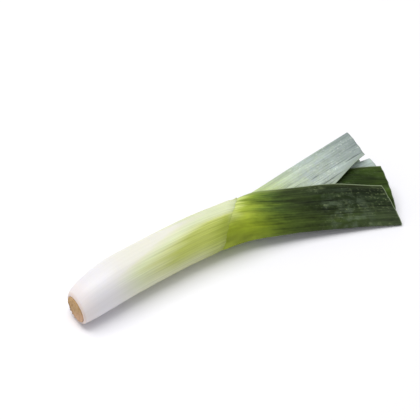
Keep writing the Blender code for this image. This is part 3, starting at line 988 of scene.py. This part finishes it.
# %% Colour along the shaft
GREEN_START, GREEN_RUN = 22.0, 118.0     # mm along the shaft: from the butt, and from white to green
GREEN_LATER = 80.0                       # mm by which it starts later on the white side
SHEATH = [(0.0, "#EBE9DA"), (0.11, "#E5E6C6"), (0.28, "#DEE5B8"), (0.45, "#D6DB99"), (0.6, "#BFC865"),
          (0.8, "#C0CA60"), (1.0, "#B5C155")]


def read_sheath(tree):
    """The attributes as outputs: grain, its parts along and up, distance from the collar, white side."""
    grain = add(tree, "Attribute", attribute_name="grain")[1]
    along, _, up = add(tree, "SeparateXYZ", (grain,))
    rim = add(tree, "Attribute", attribute_name="rim")[2]
    white = add(tree, "Attribute", attribute_name="white_side")[2]
    return SimpleNamespace(grain=grain, along=along, up=up, rim=rim, white=white)


def sheath_colour(tree, sheath):
    """Place on the ramp and the colour: how far a point lies beyond the green's start, moved by tongues."""
    start = add(tree, "Math", (sheath.white, GREEN_LATER, GREEN_START), **TIMES_PLUS)[0]
    broad = add(tree, "Math", (pattern(tree, sheath.grain, (150, 8, 8), 3), 0.5), **LESS)[0]
    tongues = add(tree, "Math", (broad, 58.0), **TIMES)[0]
    beyond = add(tree, "Math", (sheath.along, start), **LESS)[0]
    beyond = add(tree, "Math", (beyond, tongues), operation="ADD")[0]
    position = add(tree, "MapRange", (beyond, 0.0, GREEN_RUN))[0]
    most = add(tree, "MapRange", (sheath.white, 0.0, 0.9, 1.1, 0.27), **EASED)[0]
    position = add(tree, "Math", (position, most), operation="MINIMUM")[0]
    skin = add(tree, "ValToRGB", (position,), stops=SHEATH)[0]
    under = add(tree, "MapRange", (sheath.up, 11.0, -5.0, 0.0, 0.55), **EASED)[0]
    before_collar = add(tree, "MapRange", (sheath.along, 145.0, 100.0), **EASED)[0]
    under = add(tree, "Math", (under, before_collar), **TIMES)[0]
    skin = add(tree, "Mix", (under, skin, linear("#DDDDC6")), **COLOURS)[0]
    blanched = add(tree, "MapRange", (sheath.along, 60.0, 20.0), **EASED)[0]
    skin = add(tree, "Mix", (blanched, skin, linear("#EDEAEA")), **COLOURS)[0]
    butt = add(tree, "MapRange", (sheath.along, 16.0, 2.0, 0.0, 0.8), **EASED)[0]
    return position, add(tree, "Mix", (butt, skin, linear("#F2E9E6")), **COLOURS)[0]


# %% [markdown]
# Near the collar the sheath is so thin that the green leaf shows through it, more so on its upper side.
# On the white side its edge is a lighter green instead.

# %% The thin sheath at the collar
def with_collar(tree, sheath, fine, skin):
    """Mix in two greens by the distance from the edge, which the fine streaks move to and fro."""
    streaky = add(tree, "Math", (fine, 0.5), **LESS)[0]
    seam = add(tree, "Math", (streaky, 16.0, sheath.rim), **TIMES_PLUS)[0]
    through = add(tree, "MapRange", (seam, 23.0, -1.0, 0.0, 0.8), **EASED)[0]
    green_side = add(tree, "MapRange", (sheath.white, 0.7, 0.25), **EASED)[0]
    upper = add(tree, "MapRange", (sheath.up, 0.0, 13.0, 0.5, 1.0), **EASED)[0]
    through = add(tree, "Math", (through, green_side), **TIMES)[0]
    through = add(tree, "Math", (through, upper), **TIMES)[0]
    skin = add(tree, "Mix", (through, skin, linear("#9AA931")), **COLOURS)[0]
    lip = add(tree, "MapRange", (seam, 6.0, -1.0, 0.0, 0.55), **EASED)[0]
    white_side = add(tree, "MapRange", (sheath.white, 0.2, 0.6), **EASED)[0]
    lip = add(tree, "Math", (lip, white_side), **TIMES)[0]
    return add(tree, "Mix", (lip, skin, linear("#BCCA6E")), **COLOURS)[0]


# %% [markdown]
# The finish is moist: smoother and glossier than the leaves, with some light entering the white tissue,
# which softens its shading. The fine veins show as light and dark lines and in the bump, more so where
# the shaft is green. They are drawn 1.1 mm apart, a little coarser than real ones.

# %% Finish of the shaft
def sheath_finish():
    """White to yellow-green along the shaft, later on one side, with veins and a beige ring at the butt."""
    material, tree, shader = new_finish("blanched leek sheath")
    sheath = read_sheath(tree)
    position, skin = sheath_colour(tree, sheath)
    fine = pattern(tree, sheath.grain, (90, 1.1, 1.1), 2, 0.6)
    skin = with_collar(tree, sheath, fine, skin)
    lined = add(tree, "MapRange", (position, 0.05, 0.5, 0.10, 0.72), **EASED)[0]
    uneven = add(tree, "Math", (fine, 0.5), **LESS)[0]
    # Over the last 1.5 mm of the collar's edge the value dips: painted shade that offsets the light shining
    # through the thin edge.
    painted_shade_at_edge = add(tree, "MapRange", (sheath.rim, 1.5, 0.2, 0.95, 0.87), **EASED)[0]
    value = add(tree, "Math", (uneven, lined, painted_shade_at_edge), **TIMES_PLUS)[0]
    skin = add(tree, "HueSaturation", {"Value": value, "Color": skin})[0]
    lip = add(tree, "MapRange", (sheath.along, 1.0, -0.8, 0.0, 0.8), **EASED)[0]
    skin = add(tree, "Mix", (lip, skin, linear("#E8D6CA")), **COLOURS)[0]
    depth = add(tree, "Math", (fine, lined), **TIMES)[0]
    relief = add(tree, "Bump", {"Height": depth, "Strength": 0.5, "Distance": 0.0004})[0]
    tree.links.new(skin, shader.inputs["Base Color"])
    tree.links.new(relief, shader.inputs["Normal"])
    shader.inputs["Roughness"].default_value = 0.42
    shader.inputs["Specular IOR Level"].default_value = 0.4
    shader.inputs["Subsurface Weight"].default_value = 0.2
    shader.inputs["Subsurface Radius"].default_value = (1.0, 0.9, 0.5)
    shader.inputs["Subsurface Scale"].default_value = 0.003
    return material


shaft.data.materials.append(sheath_finish())

# %% [markdown]
# ## Cork
#
# The root plate has dried to a tan cork. Its lower side is mixed towards a pale peach, painted light that
# lifts the shade there, and towards the edge on its lower side it is brown, painted shade where the disc's
# rim turns away from the light.
# Cork is dull and a little rough, which a fine bump gives it.

# %% Finish of the root plate
CORK = [(0.0, "#A98354"), (0.5, "#C39F6E"), (1.0, "#D3B384")]


def cork_finish():
    """Tan mottled in two sizes, 4 mm and 0.9 mm, with painted light in peach and painted shade in brown,
    along two directions.
    """
    material, tree, shader = new_finish("dried root plate")
    place_mm = add(tree, "Attribute", attribute_name="from_middle")[1]
    _, y, z = add(tree, "SeparateXYZ", (place_mm,))
    coarse = pattern(tree, place_mm, (4, 4, 4), 4, 0.6)
    fine = pattern(tree, place_mm, (0.9, 0.9, 0.9), 3, 0.6)
    less_fine = add(tree, "Math", (fine, 0.35), **TIMES)[0]
    mottle = add(tree, "Math", (coarse, 0.65, less_fine), **TIMES_PLUS)[0]
    shade = add(tree, "MapRange", (mottle, 0.2, 0.8), **EASED)[0]
    skin = add(tree, "ValToRGB", (shade,), stops=CORK)[0]
    to_top = add(tree, "Math", (y, 0.65, add(tree, "Math", (z, 0.75), **TIMES)[0]), **TIMES_PLUS)[0]
    # Peach on the lower side is painted light: it lifts that side out of its shade.
    peach_painted_light = add(tree, "MapRange", (to_top, 2.0, -8.0, 0.0, 0.75), **EASED)[0]
    skin = add(tree, "Mix", (peach_painted_light, skin, linear("#DFB797")), **COLOURS)[0]
    to_shaded_edge = add(tree, "Math", (y, 0.8, add(tree, "Math", (z, -0.6), **TIMES)[0]), **TIMES_PLUS)[0]
    # Brown towards the lower edge is painted shade, where the rim turns away from the light.
    brown_painted_shade = add(tree, "MapRange", (to_shaded_edge, 4.0, 10.5, 0.0, 0.6), **EASED)[0]
    skin = add(tree, "Mix", (brown_painted_shade, skin, linear("#7A5C3A")), **COLOURS)[0]
    relief = add(tree, "Bump", {"Height": fine, "Strength": 0.4, "Distance": 0.0002})[0]
    tree.links.new(skin, shader.inputs["Base Color"])
    tree.links.new(relief, shader.inputs["Normal"])
    shader.inputs["Roughness"].default_value = 0.8
    return material


plate.data.materials.append(cork_finish())

# %% [markdown]
# ## Floor and light
#
# The leek lies on a plain white sheet under soft studio light: a wide lamp high up behind it and to its
# left, as from a window, a second one overhead, and an even pale sky for the rest.

# %% Stage
def make_floor(half=3.0):
    """A square sheet, six metres wide, so that it fills the picture but for views from very low down."""
    mesh = bpy.data.meshes.new("floor")
    corners = [(-half, -half, 0), (half, -half, 0), (half, half, 0), (-half, half, 0)]
    mesh.from_pydata(corners, [], [(0, 1, 2, 3)])
    floor = bpy.data.objects.new("floor", mesh)
    bpy.context.scene.collection.objects.link(floor)
    material, _, shader = new_finish("white paper sheet")
    shader.inputs["Base Color"].default_value = linear("#F8F7F9")
    shader.inputs["Roughness"].default_value = 0.75
    mesh.materials.append(material)


def aim_at(obj, place_m, target_m):
    """Put an object somewhere and turn its -Z axis towards a target."""
    obj.location = place_m
    obj.rotation_euler = (Vector(target_m) - Vector(place_m)).to_track_quat("-Z", "Y").to_euler()


def add_lamp(name, place_m, size, power, target_m=(0, 0, 0.02)):
    """A round area lamp, its size in metres across and its power in watts, that faces the leek."""
    lamp = bpy.data.lights.new(name, "AREA")
    lamp.shape, lamp.size, lamp.energy = "DISK", size, power
    obj = bpy.data.objects.new(name, lamp)
    bpy.context.scene.collection.objects.link(obj)
    aim_at(obj, place_m, target_m)


make_floor()
add_lamp("window", (-0.45, 1.15, 2.45), 1.5, 30.0)
add_lamp("ceiling softbox", (0.0, 0.15, 2.8), 1.2, 26.0)
world = bpy.data.worlds.new("pale sky")
world.use_nodes = True
world.node_tree.nodes["Background"].inputs["Color"].default_value = linear("#F5F6FC")
world.node_tree.nodes["Background"].inputs["Strength"].default_value = 0.49
bpy.context.scene.world = world
bpy.context.scene.view_settings.view_transform = "Standard"

# %% [markdown]
# ## Camera
#
# The camera looks down at 48 degrees from beyond the root plate. Its direction, its distance and the
# point that it aims at were fitted to the outlines. The lens follows from how many millimetres at the aim
# fall on one pixel of the picture.

# %% Camera
AZIMUTH, ELEVATION, DISTANCE = math.radians(-34.567), math.radians(48.0), 1.150     # the last in metres
AIM_MM = np.array([145.79, 23.02, 19.0])
MM_PER_PIXEL, PICTURE = 0.853, 420
level = math.cos(ELEVATION)
back = np.array([math.sin(AZIMUTH) * level, -math.cos(AZIMUTH) * level, math.sin(ELEVATION)])
target = (AIM_MM - origin_mm) / 1000
lens = bpy.data.cameras.new("camera")
lens.lens = lens.sensor_width * (DISTANCE * 1000 / MM_PER_PIXEL) / PICTURE
camera = bpy.data.objects.new("camera", lens)
bpy.context.scene.collection.objects.link(camera)
aim_at(camera, tuple(target + back * DISTANCE), tuple(target))
bpy.context.scene.camera = camera
print("lens", round(lens.lens, 1), "mm")
